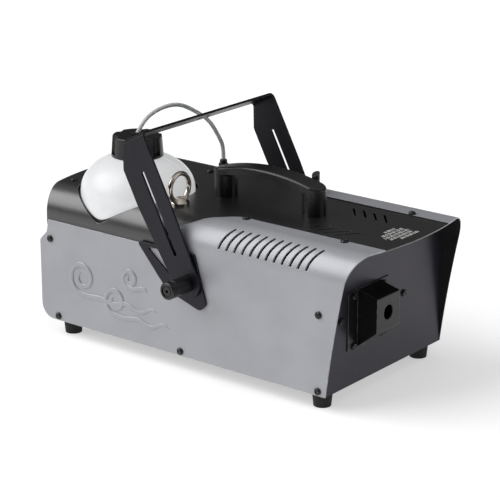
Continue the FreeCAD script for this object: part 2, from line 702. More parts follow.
def foot_screws():
    """A screw up through each foot, with its hexagon nut on the tray."""
    made = []
    for spot in foot_spots():
        seat = spot + V(0, 0, FOOT_SCREW_SINK)
        length = TRAY_TOP + FOOT_NUT_HEIGHT - FOOT_SCREW_SINK
        screw = pan_screw(seat, V(0, 0, -1), length)
        nut = hexagon(FOOT_NUT_WIDTH, V(spot.x, spot.y, TRAY_TOP), FOOT_NUT_HEIGHT)
        made.append(joined([screw, nut]))
    return Part.makeCompound(made)


# ---- lifting frame, yoke and knobs --------------------------------------
def lifting_frame():
    """Steel hoop inside the casing that carries the yoke, the eye and the handle."""
    y_range = (PIVOT.y - FRAME_WIDTH / 2, PIVOT.y + FRAME_WIDTH / 2)
    base = TRAY_TOP
    hoop = section(FRAME_INSET, y_range, base)
    hoop = hoop.cut(section(FRAME_INSET + FRAME_SHEET, y_range, base))
    top_z = TOP - FRAME_INSET
    shelf = block((-FRAME_TOP_HALF, FRAME_TOP_HALF), (y_range[0], PIVOT.y + FRAME_TOP_REAR + 15),
                  (top_z - FRAME_SHEET, top_z))
    tank_bay = TANK_RADIUS + WELL_HOLE_GAP
    shelf = shelf.cut(rod(tank_bay, V(TANK_X, TANK_Y, 0), V(TANK_X, TANK_Y, FAR)))
    frame = joined([hoop, shelf])
    eye = eye_seat()
    tools = [rod(STUD_RADIUS + SCREW_CLEARANCE, PIVOT - V(FAR, 0, 0), PIVOT + V(FAR, 0, 0)),
             rod(EYE_SHANK + SCREW_CLEARANCE, eye - V(0, 0, 30), eye)]
    for post in handle_posts():
        tools.append(rod(HANDLE_BOLT_RADIUS + SCREW_CLEARANCE, post - V(0, 0, 20), post))
    for side in (-1, 1):
        start = PIVOT + V(0, PLATE_SCREW[0], PLATE_SCREW[1])
        tools.append(rod(SCREW_RADIUS + SCREW_CLEARANCE, start, start + V(side * FAR, 0, 0)))
        tools += side_cuts(side, screw_hole)
    return cut_all(frame, tools)


def pivot_plate():
    """Left outside bracket: a triangle with a window, hung from its top edge."""
    y = PIVOT.y
    z = PIVOT.z
    shape = [(y + back, z + up, rounding) for back, up, rounding in PLATE_OUTLINE]
    window = [(y + back, z + up, rounding) for back, up, rounding in PLATE_WINDOW]
    bracket = plate(shape, side_view(-PLATE_OUT), V(PIVOT_SHEET, 0, 0))
    bracket = bracket.cut(plate(window, side_view(-PLATE_OUT - 1), V(PIVOT_SHEET + 2, 0, 0)))
    hole = rod(STUD_RADIUS + SCREW_CLEARANCE, PIVOT - V(FAR, 0, 0), PIVOT)
    return bracket.cut([hole, plate_screw(SCREW_CLEARANCE)])


def plate_screw(extra=0.0):
    """Countersunk screw that stops the left bracket turning."""
    spot = PIVOT + V(-PLATE_OUT, PLATE_SCREW[0], PLATE_SCREW[1])
    profile = [(0, 0), (SCREW_HEAD_RADIUS + extra, 0), (SCREW_RADIUS + extra, PLATE_SCREW_SINK),
               (SCREW_RADIUS + extra, PLATE_SCREW_LENGTH), (0, PLATE_SCREW_LENGTH)]
    return revolved(profile, spot, V(1, 0, 0))


def pivot_stud():
    """Left threaded stud, from inside the lifting frame out into the knob."""
    inner = HALF - FRAME_INSET - FRAME_SHEET
    outer = KNOB_IN + STUD_GRIP
    head = rod(STUD_HEAD_RADIUS, PIVOT - V(inner - STUD_HEAD_HEIGHT, 0, 0), PIVOT - V(inner, 0, 0))
    shank = rod(STUD_RADIUS, PIVOT - V(inner, 0, 0), PIVOT - V(outer, 0, 0))
    return joined([head, shank])


def pivot_washer():
    """Left washer between bracket and arm."""
    start = PIVOT - V(PLATE_OUT + SPACE, 0, 0)
    end = start - V(WASHER_SHEET, 0, 0)
    hole = rod(STUD_RADIUS + RUNNING, start + V(1, 0, 0), end - V(1, 0, 0))
    return rod(WASHER_RADIUS, start, end).cut(hole)


def yoke():
    """Bent flat steel: two slotted, tapered arms and a crossbar with a clamp hole."""
    bottom = -ARM_FOOT_RADIUS
    depth = (-YOKE_FRONT_HALF - 10, ARM_WIDE + 10)
    length = V(0, depth[1] - depth[0], 0)
    inner_top = YOKE_REACH - YOKE_SHEET
    outer_strap = [(-ARM_OUT, bottom), (-ARM_OUT, YOKE_REACH, YOKE_BEND),
                   (ARM_OUT, YOKE_REACH, YOKE_BEND), (ARM_OUT, bottom)]
    bend_inside = YOKE_BEND - YOKE_SHEET
    inner_strap = [(-ARM_IN, bottom), (-ARM_IN, inner_top, bend_inside),
                   (ARM_IN, inner_top, bend_inside), (ARM_IN, bottom)]
    strap = plate(outer_strap, front_view(depth[0]), length)
    strap = strap.cut(plate(inner_strap, front_view(depth[0]), length))
    above = YOKE_REACH + 5
    foot = ARM_FOOT_RADIUS
    arm = [(-YOKE_FRONT_HALF, above), (-YOKE_FRONT_HALF, YOKE_REACH / 2, 40), (-foot, bottom, foot * 0.98),
           (foot, bottom, foot * 0.98), (ARM_WIDE, ARM_WIDE_LOW, 60), (ARM_WIDE, ARM_WIDE_HIGH, 8),
           (YOKE_REAR_HALF, YOKE_REACH - YOKE_BEND / 2, 6), (YOKE_REAR_HALF, above)]
    strap = strap.common(plate(arm, side_view(-FAR), V(2 * FAR, 0, 0)))
    tools = [rod(STUD_RADIUS + RUNNING, V(-FAR, 0, 0), V(FAR, 0, 0)),
             stadium(ARM_SLOT_WIDTH / 2, V(-FAR, 0, ARM_SLOT_LOW), V(-FAR, 0, ARM_SLOT_HIGH),
                     V(2 * FAR, 0, 0))]
    middle = (YOKE_REAR_HALF - YOKE_FRONT_HALF) / 2
    tools.append(rod(CLAMP_HOLE_RADIUS, V(0, middle, inner_top - 1), V(0, middle, YOKE_REACH + 1)))
    strap = cut_all(strap, tools)
    strap.rotate(V(0, 0, 0), V(1, 0, 0), -YOKE_LEAN)
    strap.translate(PIVOT)
    return strap


def yoke_knob():
    """Left clamping knob: a long round grip with a ringed, recessed end."""
    neck = KNOB_RADIUS - KNOB_EASE
    rim = KNOB_RADIUS - KNOB_EASE - KNOB_RIM
    island = rim - KNOB_RIM
    groove = KNOB_LENGTH - KNOB_GROOVE_AT
    groove_bottom = KNOB_RADIUS - KNOB_GROOVE_DEPTH
    profile = [
        (STUD_RADIUS + RUNNING, 0),
        (neck, 0),
        (neck, KNOB_RIM),
        (KNOB_RADIUS, KNOB_RIM + KNOB_EASE),
        (KNOB_RADIUS, groove - 2 * KNOB_GROOVE_DEPTH),
        (groove_bottom, groove - KNOB_GROOVE_DEPTH),
        (groove_bottom, groove),
        (KNOB_RADIUS, groove + KNOB_GROOVE_DEPTH),
        (KNOB_RADIUS, KNOB_LENGTH - KNOB_EASE),
        (neck, KNOB_LENGTH),
        (rim, KNOB_LENGTH),
        (rim, KNOB_LENGTH - KNOB_RIM),
        (island, KNOB_LENGTH - KNOB_RIM),
        (island, KNOB_LENGTH - KNOB_EASE / 2),
        (KNOB_CENTRE_HOLE, KNOB_LENGTH - KNOB_EASE / 2),
        (KNOB_CENTRE_HOLE, KNOB_LENGTH - KNOB_HOLE_DEPTH),
        (0, KNOB_LENGTH - KNOB_HOLE_DEPTH),
        (0, STUD_GRIP + SPACE),
        (STUD_RADIUS + RUNNING, STUD_GRIP + SPACE),
    ]
    return revolved(profile, PIVOT - V(KNOB_IN, 0, 0), V(-1, 0, 0))


# ---- handle and eye -----------------------------------------------------
def handle():
    """Moulded carrying handle: two round posts under an arched grip."""
    front, rear = handle_posts()
    reach = HANDLE_POST_RADIUS
    mid_y = (front.y + rear.y) / 2
    ends = (front.y - reach, rear.y + reach)
    top_end = TOP + HANDLE_END_HEIGHT
    top_mid = TOP + HANDLE_MID_HEIGHT
    under_end = top_end - HANDLE_GRIP
    under_mid = top_mid - HANDLE_GRIP
    upper = Part.Arc(V(0, ends[0], top_end), V(0, mid_y, top_mid), V(0, ends[1], top_end))
    lower = Part.Arc(V(0, ends[1], under_end), V(0, mid_y, under_mid), V(0, ends[0], under_end))
    edges = [
        upper.toShape(),
        Part.LineSegment(V(0, ends[1], top_end), V(0, ends[1], under_end)).toShape(),
        lower.toShape(),
        Part.LineSegment(V(0, ends[0], under_end), V(0, ends[0], top_end)).toShape(),
    ]
    arch = Part.Face(Part.Wire(edges))
    arch.translate(V(-2 * reach, 0, 0))
    grip = arch.extrude(V(4 * reach, 0, 0))
    seen_from_above = stadium(reach, V(0, front.y, 0), V(0, rear.y, 0), V(0, 0, FAR))
    grip = grip.common(seen_from_above)
    rim = [edge for edge in grip.Edges if rides_on_top(edge, top_end, top_mid, mid_y)]
    grip = grip.makeFillet(HANDLE_EASE, rim)
    posts = [rod(reach, post, V(0, post.y, under_end + 4)) for post in (front, rear)]
    body = joined([grip] + posts)
    tools = []
    for post in (front, rear):
        tools.append(rod(HANDLE_BOLT_RADIUS + SEAM, post - V(0, 0, 1),
                         post + V(0, 0, HANDLE_BOLT_DEPTH + SPACE)))
    return cut_all(body, tools)


def rides_on_top(edge, top_end, top_mid, mid_y):
    """Whether an edge lies along the grip's upper surface."""
    for point in edge.discretize(5):
        half_span = HANDLE_SPAN / 2 + HANDLE_POST_RADIUS
        rise = top_mid - top_end
        radius = (half_span ** 2 + rise ** 2) / (2 * rise)
        height = top_mid - radius + math.sqrt(radius ** 2 - (point.y - mid_y) ** 2)
        if abs(point.z - height) > 0.05:
            return False
    return True


def handle_bolts():
    """Two bolts up through the lifting frame into the handle's posts."""
    made = []
    frame_under = TOP - FRAME_INSET - FRAME_SHEET
    for post in handle_posts():
        under = frame_under if abs(post.y - PIVOT.y) < FRAME_TOP_REAR else LID_UNDER
        head_base = V(0, post.y, under - 3.5)
        head = hexagon(8.0, head_base, 3.5)
        shank = rod(HANDLE_BOLT_RADIUS, V(0, post.y, under), post + V(0, 0, HANDLE_BOLT_DEPTH))
        made.append(joined([head, shank]))
    return Part.makeCompound(made)


def eye_seat():
    """Where the lifting eye's collar sits on the top cover."""
    return V(EYE_X, PIVOT.y + EYE_BACK, LID_TOP)


def eye_bolt():
    """Forged lifting eye: ring across the machine, collar and shank."""
    seat = eye_seat()
    middle = seat + V(0, 0, EYE_OUTER)
    ring = Part.makeTorus(EYE_OUTER - EYE_WIRE, EYE_WIRE, middle, V(0, 1, 0))
    base_top = seat + V(0, 0, EYE_BASE_HEIGHT)
    collar = Part.makeCone(EYE_COLLAR, EYE_COLLAR_TOP, EYE_COLLAR_HEIGHT - EYE_BASE_HEIGHT, base_top)
    base = rod(EYE_COLLAR, seat, base_top)
    shank = rod(EYE_SHANK, seat - V(0, 0, EYE_SHANK_LENGTH), seat)
    window = rod(EYE_OUTER - 2 * EYE_WIRE, middle - V(0, EYE_OUTER, 0), middle + V(0, EYE_OUTER, 0))
    return joined([joined([base, collar, shank]).cut(window), ring])


def eye_nut():
    """Nut and washer face under the lifting frame."""
    seat = eye_seat()
    under = TOP - FRAME_INSET - FRAME_SHEET
    nut = hexagon(EYE_NUT_WIDTH, V(seat.x, seat.y, under - EYE_NUT_HEIGHT), EYE_NUT_HEIGHT)
    return nut.cut(rod(EYE_SHANK + RUNNING, seat - V(0, 0, 40), seat))


# ---- fluid system -------------------------------------------------------
def tank_axis(height):
    """A point on the tank's axis, given its height above the underside."""
    return V(TANK_X, TANK_Y, UNDER + height)


def tank_shell(inset):
    """The bottle's outside, or its inside when inset by the wall."""
    radius = TANK_RADIUS - inset
    neck = TANK_NECK_RADIUS - inset
    dome = TANK_DOME - inset
    base = UNDER + TANK_FLOOR + inset
    shoulder = UNDER + TANK_SHOULDER
    round_base = TANK_BASE_ROUND - inset

    def spot(r, z):
        return V(TANK_X + r, TANK_Y, z)

    def dome_point(r):
        return spot(r, shoulder + dome * math.sqrt(1 - (r / radius) ** 2))

    neck_foot = dome_point(neck)
    neck_top = UNDER + TANK_NECK_TOP + (1 if inset else 0)
    rounding = round_base * (1 - math.sqrt(0.5))
    steps = 7
    dome_curve = Part.BSplineCurve()
    angles = [math.acos(neck / radius) * i / steps for i in range(steps + 1)]
    dome_curve.interpolate([dome_point(radius * math.cos(a)) for a in angles])
    edges = [
        Part.LineSegment(spot(0, base), spot(radius - round_base, base)).toShape(),
        Part.Arc(spot(radius - round_base, base), spot(radius - rounding, base + rounding),
                 spot(radius, base + round_base)).toShape(),
        Part.LineSegment(spot(radius, base + round_base), spot(radius, shoulder)).toShape(),
        dome_curve.toShape(),
        Part.LineSegment(neck_foot, spot(neck, neck_top)).toShape(),
        Part.LineSegment(spot(neck, neck_top), spot(0, neck_top)).toShape(),
        Part.LineSegment(spot(0, neck_top), spot(0, base)).toShape(),
    ]
    face = Part.Face(Part.Wire(edges))
    return face.revolve(V(TANK_X, TANK_Y, 0), V(0, 0, 1), 360)


def fluid_tank():
    """Blow-moulded bottle with an open neck."""
    return tank_shell(0).cut(tank_shell(TANK_WALL))


def tank_cap():
    """Screw cap with deep finger flutes and a hole for the hose grommet."""
    base = tank_axis(CAP_BASE)
    cap = Part.makeCone(CAP_LOW_RADIUS, CAP_TOP_RADIUS, CAP_HEIGHT, base)
    top_rim = [edge for edge in cap.Edges if edge.BoundBox.ZMin > base.z + CAP_HEIGHT - 0.1]
    cap = cap.makeFillet(2.0, top_rim)
    tools = []
    distance = CAP_TOP_RADIUS - CAP_FLUTE_DEPTH + CAP_FLUTE_RADIUS
    for i in range(CAP_FLUTES):
        angle = math.radians(360 / CAP_FLUTES * (i + 0.5))
        middle = base + V(distance * math.cos(angle), distance * math.sin(angle), 3)
        tools.append(rod(CAP_FLUTE_RADIUS, middle, middle + V(0, 0, CAP_HEIGHT)))
    neck_gap = 0.4
    neck_room = rod(TANK_NECK_RADIUS + neck_gap, base - V(0, 0, 1),
                    base + V(0, 0, CAP_HEIGHT - CAP_ROOF))
    tools.append(neck_room)
    tools.append(rod(GROMMET_STEM + RUNNING, base, base + V(0, 0, CAP_HEIGHT + 1)))
    dome_room = tank_shell(-SPACE)
    return cut_all(cap, tools).cut(dome_room.cut(rod(TANK_NECK_RADIUS + neck_gap,
                                                     tank_axis(0), tank_axis(FAR))))


def hose_grommet(hose):
    """Rubber grommet in the cap that holds the hose while the cap turns round it."""
    cap_top = tank_axis(CAP_BASE + CAP_HEIGHT + RUNNING)
    flange = rod(GROMMET_RADIUS, cap_top, cap_top + V(0, 0, GROMMET_HEIGHT - RUNNING))
    stem = rod(GROMMET_STEM, cap_top - V(0, 0, CAP_ROOF + 3), cap_top)
    hole = rod(HOSE_RADIUS, cap_top - V(0, 0, 20), hose_seat())
    return joined([flange, stem]).cut([hole, hose])


def hose_seat():
    """Where the clear hose meets the pickup tube, on the tank's axis just above the cap."""
    return tank_axis(CAP_BASE + CAP_HEIGHT + HOSE_SEAT)


def pickup_end():
    """Lower end of the pickup tube."""
    return hose_seat() - V(0, 0, PICKUP_LENGTH)


def pickup_tube(hose):
    """Hose inside the bottle, down from the grommet to the filter."""
    top = hose_seat()
    low = pickup_end()
    return rod(HOSE_RADIUS, low, top).cut([rod(HOSE_BORE, low, top), hose])


def pickup_filter():
    """Sintered filter weight on the end of the pickup tube."""
    low = pickup_end()
    return Part.makeCone(FILTER_RADIUS, FILTER_TOP_RADIUS, FILTER_LENGTH, low - V(0, 0, FILTER_LENGTH))


def tank_well():
    """Round drip well that the bottle stands in."""
    inner = TANK_RADIUS + WELL_GAP
    floor = tank_axis(TANK_FLOOR - SEAM)
    top = V(TANK_X, TANK_Y, LID_UNDER - 2)
    cup = rod(inner + WELL_WALL, floor - V(0, 0, WELL_WALL), top).cut(rod(inner, floor, top))
    under_lid = section(FRAME_INSET, (-FAR, FAR), 0)
    return cup.common(under_lid)


def tank_shelf():
    """Bent steel table under the well."""
    top = UNDER + TANK_FLOOR - SEAM - WELL_WALL - SEAM
    y = (TANK_Y - SHELF_HALF_Y, TANK_Y + SHELF_HALF_Y)
    table = block((TANK_X - SHELF_HALF_X, TANK_X + SHELF_HALF_X), y, (TRAY_TOP, top))
    hollow_half = SHELF_HALF_X - SHEET
    hollow = block((TANK_X - hollow_half, TANK_X + hollow_half), (-FAR, FAR), (0, top - SHEET))
    pieces = [table.cut(hollow)]
    for side in (-1, 1):
        x = sorted((TANK_X + side * SHELF_HALF_X, TANK_X + side * (SHELF_HALF_X + SHELF_LIP)))
        pieces.append(block(x, y, (TRAY_TOP, TRAY_TOP + SHEET)))
    return joined(pieces)


def tube_path(points):
    """Straight runs joined by tangent arcs; also gives the arcs' radii."""
    spots = [V(*point) for point in points]
    edges = []
    radii = []
    last = spots[0]
    share = 0.45
    for i in range(1, len(spots) - 1):
        back = spots[i - 1] - spots[i]
        ahead = spots[i + 1] - spots[i]
        reach = share * min(back.Length, ahead.Length)
        back.normalize()
        ahead.normalize()
        half_turn = (math.pi - back.getAngle(ahead)) / 2
        radius = reach / math.tan(half_turn)
        radii.append(radius)
        start = spots[i] + back * reach
        end = spots[i] + ahead * reach
        inward = (back + ahead).normalize()
        middle = spots[i] + inward * (radius / math.cos(half_turn) - radius)
        edges.append(Part.LineSegment(last, start).toShape())
        edges.append(Part.Arc(start, middle, end).toShape())
        last = end
    edges.append(Part.LineSegment(last, spots[-1]).toShape())
    return Part.Wire(edges), radii


def swept_tube(points, radius, label):
    """A round tube along a route, with a line that says what it measures."""
    path, radii = tube_path(points)
    start = V(*points[0])
    heading = (V(*points[1]) - start).normalize()
    ring = Part.Wire(Part.makeCircle(radius, start, heading))
    tube = path.makePipeShell([ring], True, False)
    expected = math.pi * radius ** 2 * path.Length
    print(label, "length", round(path.Length, 1), "volume ratio", round(tube.Volume / expected, 4))
    print(label, "radii", [round(value, 1) for value in radii])
    return tube


def fluid_hose():
    """Clear hose from the cap's grommet over to the fitting."""
    return swept_tube(HOSE_ROUTE, HOSE_RADIUS, "fluid_hose")


def hose_fitting():
    """Bulkhead hose fitting in the top cover, with its nut below."""
    collet = 5.0
    profile = [
        (0, FITTING_HEIGHT),
        (FITTING_RADIUS - 1, FITTING_HEIGHT),
        (FITTING_RADIUS - 0.5, FITTING_HEIGHT - 1),
        (FITTING_RADIUS - 0.5, FITTING_HEIGHT - collet),
        (FITTING_RADIUS + 1, FITTING_HEIGHT - collet - 0.5),
        (FITTING_RADIUS + 1, 5),
        (FITTING_FLANGE, 4.5),
        (FITTING_FLANGE, 0),
        (FITTING_RADIUS, 0),
        (FITTING_RADIUS, -FITTING_DEPTH),
        (0, -FITTING_DEPTH),
    ]
    body = revolved(profile, FITTING, V(0, 0, 1))
    nut_top = LID_UNDER
    nut = hexagon(17.0, V(FITTING.x, FITTING.y, nut_top - 4), 4)
    return joined([body, nut])


def pump_box():
    """The pump's corner ranges."""
    x = (PUMP_X - PUMP_SIZE[0] / 2, PUMP_X + PUMP_SIZE[0] / 2)
    y0 = Y_FRONT + PUMP_BACK
    z0 = TRAY_TOP + PUMP_LIFT
    return x, (y0, y0 + PUMP_SIZE[1]), (z0, z0 + PUMP_SIZE[2])


def inner_hose():
    """Hose under the lid, from the fitting down to the pump's inlet."""
    x, y, z = pump_box()
    mid_y = (y[0] + y[1]) / 2
    top = FITTING.z - FITTING_DEPTH
    inlet_top = z[1] + 12
    points = [
        (FITTING.x, FITTING.y, top),
        (FITTING.x, FITTING.y, top - 22),
        (FITTING.x + 1.5, FITTING.y * 0.75 + mid_y * 0.25, top - 50),
        (PUMP_X - 0.5, FITTING.y * 0.3 + mid_y * 0.7, top * 0.25 + inlet_top * 0.75 + 4),
        (PUMP_X, mid_y, inlet_top + 12),
        (PUMP_X, mid_y, inlet_top),
    ]
    return swept_tube(points, HOSE_RADIUS, "inner_hose")


def pump():
    """Solenoid pump: coil block, inlet on top and outlet at the front."""
    x, y, z = pump_box()
    mid_x = (x[0] + x[1]) / 2
    mid_y = (y[0] + y[1]) / 2
    mid_z = (z[0] + z[1]) / 2
    coil = block(x, (y[0] + 12, y[1] - 12), z)
    core = rod(9.0, V(mid_x, y[0], mid_z), V(mid_x, y[1], mid_z))
    inlet = rod(4.0, V(mid_x, mid_y, z[1]), V(mid_x, mid_y, z[1] + 12))
    outlet = rod(PIPE_RADIUS + 2, V(mid_x, y[0] - 10, mid_z), V(mid_x, y[0], mid_z))
    return joined([coil, core, inlet, outlet])


def pump_bracket():
    """Bent bracket that holds the pump off the tray."""
    x, y, z = pump_box()
    ears = (y[0] + 14, y[1] - 14)
    top = block(x, ears, (z[0] - BRACKET_SHEET, z[0]))
    pieces = [top]
    for side in (0, 1):
        wall = sorted((x[side], x[side] + (BRACKET_SHEET if side == 0 else -BRACKET_SHEET)))
        pieces.append(block(wall, ears, (TRAY_TOP, z[0])))
    return joined(pieces)


def heater_box(inset):
    """The heater's outer box, smaller by an inset all round."""
    half_x = HEATER_WIDTH / 2 - inset
    half_z = HEATER_DEEP / 2 - inset
    y0 = Y_FRONT + HEATER_SETBACK
    z = UNDER + NOZZLE_HEIGHT
    return block((NOZZLE_X - half_x, NOZZLE_X + half_x), (y0 + inset, y0 + HEATER_LENGTH - inset),
                 (z - half_z, z + half_z))


def nozzle_line(y):
    """A point on the nozzle's axis."""
    return V(NOZZLE_X, y, UNDER + NOZZLE_HEIGHT)


def heater_openings(extra):
    """Cutters through the heater's jackets for the nozzle and the inlet pipe."""
    y0 = Y_FRONT + HEATER_SETBACK
    front = rod(NOZZLE_RADIUS + extra, nozzle_line(y0 - 1), nozzle_line(y0 + HEATER_LENGTH / 2))
    back = rod(PIPE_RADIUS + extra, nozzle_line(y0 + HEATER_LENGTH / 2),
               nozzle_line(y0 + HEATER_LENGTH + 1))
    return [front, back]


def heater_shell():
    """Stainless jacket round the insulation."""
    return heater_box(0).cut([heater_box(HEATER_SKIN)] + heater_openings(SCREW_CLEARANCE))


def heater_insulation():
    """Ceramic fibre blanket between jacket and block."""
    outer = heater_box(HEATER_SKIN + SEAM)
    return outer.cut([heater_box(HEATER_SKIN + INSULATION)] + heater_openings(SCREW_CLEARANCE))


def heater_block():
    """Cast heat exchanger with its cartridge bores."""
    body = heater_box(HEATER_SKIN + INSULATION + SEAM)
    y0 = Y_FRONT + HEATER_SETBACK + HEATER_SKIN + INSULATION + SEAM
    y1 = Y_FRONT + HEATER_SETBACK + HEATER_LENGTH - HEATER_SKIN - INSULATION - SEAM
    tools = []
    for side in (-1, 1):
        start = nozzle_line(y1) + V(side * 20, 0, 0)
        tools.append(rod(6.0, start + V(0, 1, 0), start - V(0, (y1 - y0) * 0.8, 0)))
    seat_depth = 12.0
    tools.append(rod(NOZZLE_RADIUS + RUNNING, nozzle_line(y0 - 1), nozzle_line(y0 + seat_depth)))
    tools.append(rod(PIPE_RADIUS + RUNNING, nozzle_line(y1 + 1), nozzle_line(y1 - seat_depth)))
    return cut_all(body, tools)


def nozzle():
    """Brass nozzle screwed into the block and reaching through the front panel."""
    inner_y = Y_FRONT + HEATER_SETBACK + HEATER_SKIN + INSULATION + 11
    tip_y = inner_y - NOZZLE_LENGTH
    body = rod(NOZZLE_RADIUS, nozzle_line(inner_y), nozzle_line(tip_y))
    hex_y = Y_FRONT + HEATER_SETBACK - 8
    grip = hexagon(14.0, V(0, 0, 0), 6)
    grip.rotate(V(0, 0, 0), V(1, 0, 0), 90)
    grip.translate(nozzle_line(hex_y + 6))
    return joined([body, grip]).cut(rod(NOZZLE_BORE, nozzle_line(tip_y - 1),
                                        nozzle_line(inner_y + 1)))


def heater_brackets():
    """Two bent cradles that hold the heater over the tray."""
    made = []
    low = TRAY_TOP
    high = UNDER + NOZZLE_HEIGHT - HEATER_DEEP / 2
    for back in (35.0, HEATER_LENGTH - 55.0):
        y = Y_FRONT + HEATER_SETBACK + back
        half = HEATER_WIDTH / 2 - 6
        x = (NOZZLE_X - half, NOZZLE_X + half)
        web = block(x, (y, y + BRACKET_SHEET), (low, high))
        foot = block(x, (y, y + 18), (low, low + BRACKET_SHEET))
        pad = block(x, (y, y + 18), (high - BRACKET_SHEET, high))
        made.append(joined([web, foot, pad]))
    return Part.makeCompound(made)


def thermostat():
    """Bimetal thermostat on the jacket's top, with its two tabs."""
    z = UNDER + NOZZLE_HEIGHT + HEATER_DEEP / 2
    y = Y_FRONT + HEATER_SETBACK + HEATER_LENGTH * 0.6
    pieces = [rod(THERMOSTAT_RADIUS, V(NOZZLE_X, y, z), V(NOZZLE_X, y, z + 9))]
    for side in (-1, 1):
        x = NOZZLE_X + side * (THERMOSTAT_RADIUS - 3)
        pieces.append(block((x - 0.4, x + 0.4), (y - 3, y + 3), (z + 9, z + 18)))
    return joined(pieces)


def heater_pipe():
    """Metal pipe from the pump's outlet round to the back of the heater."""
    x, y, z = pump_box()
    start_y = y[0] - 10
    mid_z = (z[0] + z[1]) / 2
    end_y = Y_FRONT + HEATER_SETBACK + HEATER_LENGTH - HEATER_SKIN - INSULATION - 8
    line_z = UNDER + NOZZLE_HEIGHT
    turn_y = Y_FRONT + HEATER_SETBACK + HEATER_LENGTH + 8
    points = [
        (PUMP_X, start_y, mid_z),
        (PUMP_X, turn_y + 16, mid_z),
        (PUMP_X - 14, turn_y + 4, mid_z + 6),
        (PUMP_X - 42, turn_y + 3, (mid_z + line_z) / 2),
        (PUMP_X - 72, turn_y + 8, line_z - 8),
        (NOZZLE_X + 12, turn_y + 12, line_z - 1),
        (NOZZLE_X, turn_y, line_z),
        (NOZZLE_X, end_y, line_z),
    ]
    return swept_tube(points, PIPE_RADIUS, "heater_pipe")


def guard_box_x():
    """Left and right faces of the nozzle's cover."""
    return NOZZLE_X - GUARD_WIDTH / 2, NOZZLE_X + GUARD_WIDTH / 2


def guard_seats():
    """Screws of the nozzle's cover, on the front of its ears."""
    left, right = guard_box_x()
    y = Y_FRONT - SHEET
    seats = []
    for x in (left - GUARD_SCREW_IN, right + GUARD_SCREW_IN):
        for z in (GUARD_BACK_LOW + 4, GUARD_BACK_HIGH - GUARD_SCREW_IN):
            seats.append(V(x, y, UNDER + z))
    return seats


def panel_seats():
    """Screws straight into the front panel."""
    return [V(x, Y_FRONT, UNDER + z) for x, z in PANEL_SCREWS]


def nozzle_cover():
    """Folded steel box over the nozzle, with an ear on each side."""
    left, right = guard_box_x()
    face_y = Y_FRONT - GUARD_REACH
    wall = [
        (Y_FRONT, UNDER + GUARD_BACK_LOW),
        (face_y, UNDER + GUARD_FACE_LOW, 1.5),
        (face_y, UNDER + GUARD_FACE_HIGH, 1.5),
        (Y_FRONT, UNDER + GUARD_BACK_HIGH),
    ]
    room = [
        (Y_FRONT + 1, UNDER + GUARD_BACK_LOW + SHEET),
        (face_y + SHEET, UNDER + GUARD_FACE_LOW + SHEET / 2),
        (face_y + SHEET, UNDER + GUARD_FACE_HIGH - SHEET),
        (Y_FRONT + 1, UNDER + GUARD_BACK_HIGH - SHEET),
    ]
    solid = plate(wall, side_view(left), V(right - left, 0, 0))
    ears = block((left - GUARD_EAR, right + GUARD_EAR), (Y_FRONT - SHEET, Y_FRONT),
                 (UNDER + GUARD_BACK_LOW, UNDER + GUARD_BACK_HIGH))
    inside = plate(room, side_view(left + SHEET), V(right - left - 2 * SHEET, 0, 0))
    hole = rod(GUARD_HOLE, nozzle_line(face_y - 1), nozzle_line(face_y + 5))
    tools = [inside, hole] + [screw_hole(seat, V(0, -1, 0)) for seat in guard_seats()]
    return cut_all(joined([solid, ears]), tools)


# ---- electrics ----------------------------------------------------------
def board_corner():
    """Lowest corner of the control board."""
    return V(INNER_WALL - 14 - BOARD_SIZE[0], Y_FRONT + 312, TRAY_TOP + BOARD_LIFT)


def board():
    """Control board on the tray."""
    low = board_corner()
    return Part.makeBox(BOARD_SIZE[0], BOARD_SIZE[1], BOARD_SHEET, low)


def board_parts():
    """Transformer, relay, capacitors and terminal strip on the board."""
    low = board_corner() + V(0, 0, BOARD_SHEET)
    made = [
        Part.makeBox(38, 32, 28, low + V(6, 70, 0)),
        Part.makeBox(16, 28, 18, low + V(54, 72, 0)),
        Part.makeBox(60, 11, 12, low + V(8, 4, 0)),
    ]
    for x in (12, 28, 44):
        spot = low + V(x, 42, 0)
        made.append(rod(5.5, spot, spot + V(0, 0, 20)))
    return Part.makeCompound(made)


def board_posts():
    """Standoffs under the board's corners."""
    low = board_corner()
    made = []
    for x in (6, BOARD_SIZE[0] - 6):
        for y in (6, BOARD_SIZE[1] - 6):
            foot = V(low.x + x, low.y + y, TRAY_TOP)
            made.append(rod(3.0, foot, V(foot.x, foot.y, low.z)))
    return Part.makeCompound(made)


